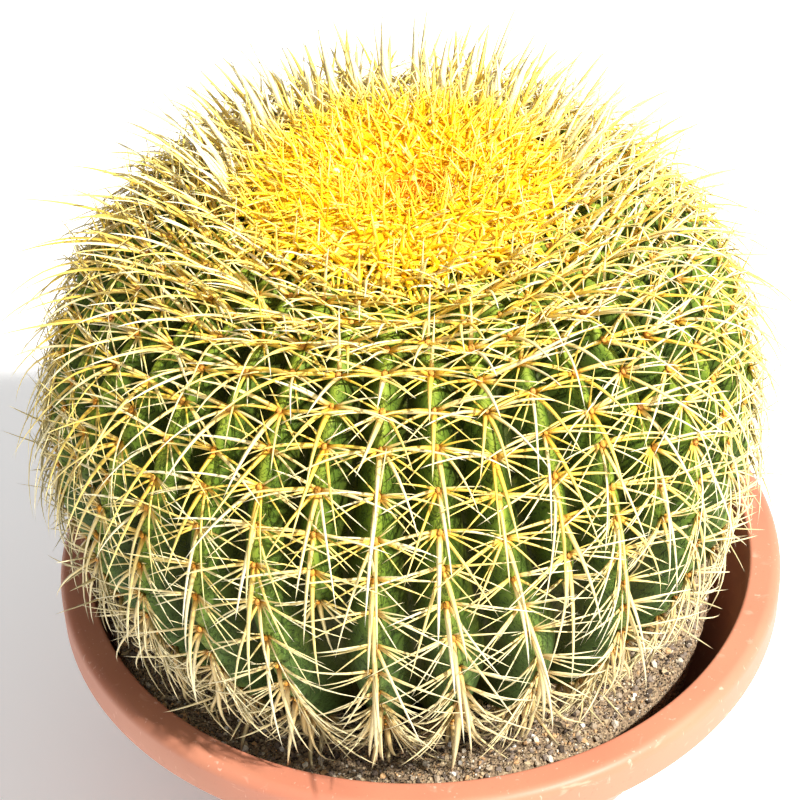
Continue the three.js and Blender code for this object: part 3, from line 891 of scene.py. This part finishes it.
def cut_drains(pot):
    """Cuts the drain holes through the pot's floor."""
    shape = bmesh.new()
    for hole in range(DRAIN_HOLES):
        turn = np.radians((hole + 0.5) * 360 / DRAIN_HOLES)
        middle = (DRAIN_CIRCLE * np.cos(turn), DRAIN_CIRCLE * np.sin(turn), POT_FLOOR / 2)
        bmesh.ops.create_cone(
            shape, cap_ends=True, segments=DRAIN_SIDES, radius1=DRAIN_RADIUS, radius2=DRAIN_RADIUS,
            depth=4 * POT_FLOOR, matrix=Matrix.Translation(middle),
        )
    cutter_mesh = bpy.data.meshes.new("drains")
    shape.to_mesh(cutter_mesh)
    shape.free()
    cutter = add_object("drains", cutter_mesh)
    modifier = pot.modifiers.new("drains", "BOOLEAN")
    modifier.object = cutter
    modifier.operation = "DIFFERENCE"
    modifier.solver = "EXACT"
    whole = pot.data
    evaluated = pot.evaluated_get(bpy.context.evaluated_depsgraph_get())
    pot.data = bpy.data.meshes.new_from_object(evaluated)
    pot.modifiers.clear()
    pot.data.name = "pot_body"
    bpy.data.objects.remove(cutter)
    bpy.data.meshes.remove(cutter_mesh)
    bpy.data.meshes.remove(whole)


# Materials


def colour(code):
    """Linear colour of a six-digit web colour."""
    parts = [int(code[i:i + 2], 16) / 255 for i in (0, 2, 4)]
    linear = [part / 12.92 if part < 0.04045 else ((part + 0.055) / 1.055) ** 2.4 for part in parts]
    return (*linear, 1)


class Finish:
    """A material of one Principled shader, with short calls for the nodes that feed it."""

    def __init__(self, name, roughness, specular=0.5):
        self.material = bpy.data.materials.new(name)
        self.material.use_nodes = True
        self.tree = self.material.node_tree
        self.shader = self.tree.nodes["Principled BSDF"]
        self.put("Roughness", roughness)
        self.put("Specular IOR Level", specular)
        self.where = self.tree.nodes.new("ShaderNodeTexCoord").outputs["Object"]

    def feed(self, socket, value):
        if isinstance(value, bpy.types.NodeSocket):
            self.tree.links.new(value, socket)
        else:
            socket.default_value = value

    def put(self, name, value):
        """Sets or feeds one of the shader's inputs."""
        self.feed(self.shader.inputs[name], value)

    def node(self, kind, inputs, **settings):
        """A new node with its settings, and with its inputs set or fed."""
        node = self.tree.nodes.new(kind)
        for key, value in settings.items():
            setattr(node, key, value)
        for key, value in inputs.items():
            self.feed(node.inputs[key], value)
        return node

    def attribute(self, name):
        return self.node("ShaderNodeAttribute", {}, attribute_name=name).outputs["Fac"]

    def noise(self, size, detail, stretch=None, distortion=0):
        where = self.where
        if stretch:
            mapping = self.node("ShaderNodeMapping", {"Vector": where, "Scale": stretch})
            where = mapping.outputs["Vector"]
        inputs = {"Vector": where, "Scale": 1 / size, "Detail": detail, "Distortion": distortion}
        return self.node("ShaderNodeTexNoise", inputs).outputs["Fac"]

    def split_place(self):
        """The place on the part as its X, Y and Z."""
        return self.node("ShaderNodeSeparateXYZ", {"Vector": self.where}).outputs

    def cells(self, size):
        """Cells of about a size, as a random value for each cell and the distance from its middle."""
        cells = self.node("ShaderNodeTexVoronoi", {"Scale": 1 / size, "Vector": self.where})
        split = self.node("ShaderNodeSeparateColor", {"Color": cells.outputs["Color"]})
        return split.outputs["Red"], cells.outputs["Distance"]

    def maths(self, operation, a, b=0):
        return self.node("ShaderNodeMath", {0: a, 1: b}, operation=operation).outputs[0]

    def plus(self, a, b):
        return self.maths("ADD", a, b)

    def less(self, a, b):
        return self.maths("SUBTRACT", a, b)

    def times(self, a, b):
        return self.maths("MULTIPLY", a, b)

    def between(self, value, low, high, to_low=0, to_high=1):
        """Smooth change from one value to the other while the value goes from low to high."""
        inputs = {"Value": value, "From Min": low, "From Max": high, "To Min": to_low, "To Max": to_high}
        node = self.node("ShaderNodeMapRange", inputs, interpolation_type="SMOOTHSTEP")
        return node.outputs["Result"]

    def ramp(self, value, *stops, steps=False):
        """Colours at positions along a value, which blend into each other or change in steps."""
        node = self.node("ShaderNodeValToRGB", {"Fac": value})
        node.color_ramp.interpolation = "CONSTANT" if steps else "LINEAR"
        elements = node.color_ramp.elements
        while len(elements) < len(stops):
            elements.new(1)
        for element, (position, code) in zip(elements, stops):
            element.position = position
            element.color = colour(code)
        return node.outputs["Color"]

    def blend(self, share, a, b):
        """From a to b, each one a colour's code or a socket, as the share goes from 0 to 1."""
        a, b = (colour(value) if isinstance(value, str) else value for value in (a, b))
        return self.node("ShaderNodeMix", {"Factor": share, 6: a, 7: b}, data_type="RGBA").outputs[2]

    def bump(self, height, depth, strength=1):
        node = self.node("ShaderNodeBump", {"Height": height, "Distance": depth, "Strength": strength})
        self.put("Normal", node.outputs["Normal"])


def spine_finish(name, glow):
    """Brown at the root and cream or yellow outward, golden by the crown and straw-coloured when old."""
    finish = Finish(name, 0.42)
    finish.put("Subsurface Weight", glow)
    finish.put("Subsurface Radius", (1.0, 0.8, 0.35))
    finish.put("Subsurface Scale", 1.5 * MM)
    along = finish.attribute("along")
    tint = finish.attribute("tint")
    age = finish.attribute("age")
    cream = finish.ramp(
        along, (0, "C28436"), (0.05, "DAB862"), (0.14, "E2CF8C"), (0.4, "E6DCB0"), (1, "ECE6CC")
    )
    yellow = finish.ramp(
        along, (0, "C6882E"), (0.05, "DEB23A"), (0.3, "E4C248"), (0.7, "E8CE68"), (1, "ECDA98")
    )
    golden = finish.ramp(along, (0, "F4BC08"), (0.15, "F8C80C"), (0.6, "FAD21C"), (1, "FBDC58"))
    pale_gold = finish.ramp(along, (0, "F6CC38"), (0.5, "F9E07A"), (1, "FCF2C0"))
    golden = finish.blend(finish.between(tint, 0.55, 0.9, 0, 0.7), golden, pale_gold)
    old = finish.ramp(along, (0, "945F28"), (0.15, "B8975A"), (0.6, "C6B684"), (1, "C0AC80"))
    yellowish = finish.times(finish.between(age, 0.75, 0.3, 0.12, 1), finish.between(tint, -0.1, 0.7))
    paint = finish.blend(yellowish, cream, yellow)
    paint = finish.blend(finish.between(age, 0.13, -0.06), paint, golden)
    amber = finish.ramp(along, (0, "E88C06"), (0.5, "F2AA08"), (1, "F8C828"))
    paint = finish.blend(finish.between(age, -0.55, -0.95), paint, amber)
    paint = finish.blend(finish.between(age, 0.4, 0.8, 0, 0.85), paint, old)
    grain = finish.noise(2.2 * MM, 2)
    paint = finish.blend(finish.between(grain, 0.4, 0.75, 0, 0.12), paint, "D6B05A")
    finish.put("Base Color", paint)
    rings = finish.maths("SINE", finish.times(along, 160))
    finish.bump(finish.plus(finish.times(rings, 0.3), grain), 0.12 * MM, 0.5)
    return finish.material


def skin_finish():
    """Waxy green, paler on the crests, with painted shade darkening the valleys and the fine creases on
    the flanks.
    """
    finish = Finish("cactus_skin", 0.5, 0.1)
    relief = finish.attribute("relief")
    broad = finish.noise(60 * MM, 2)
    fine = finish.noise(5 * MM, 4)
    shifted = finish.plus(relief, finish.times(finish.less(fine, 0.5), 0.25))
    # Painted shade: both ramps run from the paler crest green, the skin's own tone, to dark olive-brown
    # on the valley floors, which stands in for the shade that falls there.
    young = finish.ramp(
        shifted, (0, "83922E"), (0.14, "607624"), (0.4, "485C1C"), (0.65, "3C4814"), (1, "36380C")
    )
    old = finish.ramp(
        shifted, (0, "6C7E3E"), (0.14, "4E6634"), (0.4, "3A4E22"), (0.65, "343C12"), (1, "302C0A")
    )
    height = finish.split_place()["Z"]
    paint = finish.blend(finish.between(height, WIDEST + 60 * MM, WIDEST - 60 * MM), young, old)
    paint = finish.blend(finish.between(broad, 0.45, 0.7, 0, 0.25), paint, "3C5628")
    by_crown = finish.between(height, CROWN_EDGE - 32 * MM, CROWN_EDGE - 6 * MM, 0, 0.5)
    paint = finish.blend(by_crown, paint, "8CA034")
    # Painted shade: thin dark lines along the creases, blended towards 1C280C, stand in for the shade
    # inside the fine creases. The same lines also feed the bump.
    creases = finish.noise(5 * MM, 2, stretch=(1, 1, 0.8), distortion=1.5)
    line = finish.between(finish.maths("ABSOLUTE", finish.less(creases, 0.5)), 0, 0.05)
    paint = finish.blend(finish.times(finish.less(1, line), 0.7), paint, "1C280C")
    finish.put("Base Color", paint)
    finish.put("Roughness", finish.between(fine, 0.3, 0.7, 0.45, 0.6))
    finish.bump(finish.plus(line, finish.times(fine, 0.5)), 0.5 * MM, 0.6)
    return finish.material


def felt_finish():
    """Orange-brown felt of the areoles, paler and woollier when young."""
    finish = Finish("areole_felt", 0.95, 0.1)
    tint = finish.attribute("tint")
    age = finish.attribute("age")
    paint = finish.ramp(tint, (0, "CE8A30"), (0.5, "E0A544"), (1, "D2954E"))
    paint = finish.blend(finish.between(age, 0.3, 0), paint, "E9B45C")
    fibres = finish.noise(0.7 * MM, 3)
    paint = finish.blend(finish.between(fibres, 0.4, 0.65, 0, 0.5), paint, "8A5122")
    finish.put("Base Color", paint)
    finish.bump(fibres, 0.5 * MM)
    return finish.material


def tuft_finish():
    """Golden wool of the young areoles, pale in a few."""
    finish = Finish("young_tufts", 0.95, 0.1)
    tint = finish.attribute("tint")
    paint = finish.ramp(tint, (0, "F2B80C"), (0.6, "F6C624"), (0.9, "F6D874"), (1, "F8EED0"))
    fibres = finish.noise(0.8 * MM, 3)
    paint = finish.blend(finish.between(fibres, 0.4, 0.65, 0, 0.3), paint, "F6B41E")
    finish.put("Base Color", paint)
    finish.bump(fibres, 0.5 * MM)
    return finish.material


def wool_finish():
    """Golden wool, deeper and more orange towards the middle of the crown."""
    finish = Finish("crown_wool", 0.95, 0.1)
    place = finish.split_place()
    aside = finish.less(place["X"], CROWN_CENTRE[0])
    ahead = finish.less(place["Y"], CROWN_CENTRE[1])
    reach = finish.maths("SQRT", finish.plus(finish.times(aside, aside), finish.times(ahead, ahead)))
    paint = finish.ramp(
        finish.maths("DIVIDE", reach, CROWN_RADIUS),
        (0, "D85E0C"), (0.12, "E88A0A"), (0.35, "F3B204"), (0.85, "F7C414"), (1, "F2CC50"),
    )
    clumps = finish.noise(4 * MM, 4)
    paint = finish.blend(finish.between(clumps, 0.45, 0.7, 0, 0.3), paint, "F2AE0C")
    fibres = finish.noise(0.9 * MM, 4)
    paint = finish.blend(finish.between(fibres, 0.5, 0.75, 0, 0.6), paint, "FBD848")
    finish.put("Base Color", paint)
    finish.bump(finish.plus(clumps, fibres), 1.5 * MM)
    return finish.material


def soil_finish():
    """Grey-brown grit with pale, tan and dark flecks."""
    finish = Finish("soil", 0.95, 0.2)
    broad = finish.noise(38 * MM, 3)
    fine = finish.noise(1.6 * MM, 4)
    paint = finish.ramp(fine, (0.25, "3A2F24"), (0.45, "84705A"), (0.6, "A68E70"), (0.8, "C6B594"))
    grit, from_middle = finish.cells(1.5 * MM)
    specks = finish.ramp(
        grit,
        (0, "3A3028"), (0.2, "84725C"), (0.45, "B09A7A"), (0.7, "C8B088"), (0.85, "B58A62"),
        (0.93, "E4D8C4"),
        steps=True,
    )
    paint = finish.blend(finish.between(from_middle, 0.5, 0.3, 0, 0.85), paint, specks)
    paint = finish.blend(finish.between(broad, 0.4, 0.7, 0, 0.2), paint, "6A5642")
    finish.put("Base Color", paint)
    round_top = finish.between(from_middle, 0.55, 0.1)
    finish.bump(finish.plus(fine, round_top), 1.2 * MM)
    return finish.material


def grain_finish():
    """Mixed grit: each grain has one colour, with a little mottling."""
    finish = Finish("soil_grit", 0.9, 0.1)
    tint = finish.attribute("tint")
    paint = finish.ramp(
        tint,
        (0, "4A4038"), (0.14, "85776B"), (0.34, "AC9B84"), (0.54, "C4AF8C"), (0.7, "C9A174"),
        (0.86, "D8CCB6"), (0.96, "ECE6DA"),
        steps=True,
    )
    mottle = finish.noise(0.8 * MM, 2)
    paint = finish.blend(finish.between(mottle, 0.45, 0.7, 0, 0.35), paint, "5A4C3E")
    finish.put("Base Color", paint)
    finish.bump(mottle, 0.3 * MM, 0.6)
    return finish.material


def pot_finish():
    """Moulded terracotta-coloured plastic with a satin sheen and light scuffs."""
    finish = Finish("pot_plastic", 0.45, 0.3)
    broad = finish.noise(90 * MM, 2)
    fine = finish.noise(1.2 * MM, 3)
    paint = finish.blend(finish.between(broad, 0.3, 0.7), "B27058", "B87A60")
    scuffs = finish.noise(14 * MM, 5, stretch=(1, 1, 2.5), distortion=0.8)
    scuffed = finish.between(scuffs, 0.62, 0.74)
    paint = finish.blend(finish.times(scuffed, 0.55), paint, "D6A18A")
    scratches = finish.noise(2.5 * MM, 4, stretch=(1, 1, 0.2), distortion=0.4)
    paint = finish.blend(finish.between(scratches, 0.66, 0.72, 0, 0.5), paint, "DDB09C")
    dust = finish.noise(3 * MM, 4)
    paint = finish.blend(finish.between(dust, 0.6, 0.8, 0, 0.2), paint, "7E4636")
    finish.put("Base Color", paint)
    worn = finish.between(broad, 0.3, 0.7, 0.42, 0.5)
    finish.put("Roughness", finish.plus(worn, finish.times(scuffed, 0.15)))
    finish.bump(finish.plus(fine, scuffs), 0.08 * MM, 0.5)
    return finish.material


# Studio


def pale_floor():
    corners = FLOOR_REACH * np.array([(-1, -1, 0), (1, -1, 0), (1, 1, 0), (-1, 1, 0)])
    floor = make_mesh("floor", corners, [np.array([[0, 1, 2, 3]])])
    finish = Finish("floor", 0.9, 0.2)
    shade = finish.between(finish.noise(0.5, 2), 0.3, 0.7)
    finish.put("Base Color", finish.blend(shade, "F6F6F5", "F9F9F8"))
    finish.put("Emission Color", (1, 1, 1, 1))
    finish.put("Emission Strength", FLOOR_GLOW)
    floor.data.materials.append(finish.material)


def studio_world():
    """Soft light from all round, brighter from above and the right, where the photograph's is."""
    world = bpy.data.worlds.new("studio")
    world.use_nodes = True
    tree = world.node_tree
    where = tree.nodes.new("ShaderNodeTexCoord").outputs["Generated"]
    facing = tree.nodes.new("ShaderNodeVectorMath")
    facing.operation = "DOT_PRODUCT"
    facing.inputs[1].default_value = SOFT_LIGHT_FROM
    tree.links.new(where, facing.inputs[0])
    strength = tree.nodes.new("ShaderNodeMapRange")
    tree.links.new(facing.outputs["Value"], strength.inputs["Value"])
    names = ("From Min", "From Max", "To Min", "To Max")
    for name, value in zip(names, SOFT_LIGHT_RANGE + SOFT_LIGHT_STRENGTH):
        strength.inputs[name].default_value = value
    tree.links.new(strength.outputs["Result"], tree.nodes["Background"].inputs["Strength"])
    tree.nodes["Background"].inputs["Color"].default_value = (1, 1, 1, 1)
    bpy.context.scene.world = world


def key_light():
    light = bpy.data.lights.new("key", "AREA")
    light.energy = KEY_POWER
    light.shape = "DISK"
    light.size = KEY_SIZE
    light.color = KEY_TONE
    lamp = add_object("key", light)
    lamp.location = KEY_PLACE
    aim = Vector((0, 0, KEY_AIM)) - Vector(KEY_PLACE)
    lamp.rotation_mode = "QUATERNION"
    lamp.rotation_quaternion = aim.to_track_quat("-Z", "Y")


def camera():
    data = bpy.data.cameras.new("camera")
    data.lens = CAMERA_LENS
    data.sensor_width = SENSOR_WIDTH
    data.clip_start = 0.05
    data.clip_end = 50
    eye = add_object("camera", data)
    right, up = Vector(CAMERA_RIGHT), Vector(CAMERA_UP)
    turned = Matrix([right, up, right.cross(up)]).transposed().to_4x4()
    eye.matrix_world = Matrix.Translation(CAMERA_PLACE) @ turned
    bpy.context.scene.camera = eye


camera()
pale_floor()
studio_world()
key_light()
pot_body(pot_finish())
soil_body(soil_finish())
soil_grains(grain_finish())
place_piece(cactus_skin(), skin_finish(), "cactus_skin", "cactus")
young_material = spine_finish("young_spines", 0.45)
body_spines(spine_finish("spine_horn", 0), young_material)
areole_felt(felt_finish())
crown_wool(wool_finish())
crown_spines(young_material, tuft_finish())
bpy.context.scene.view_settings.view_transform = "Standard"
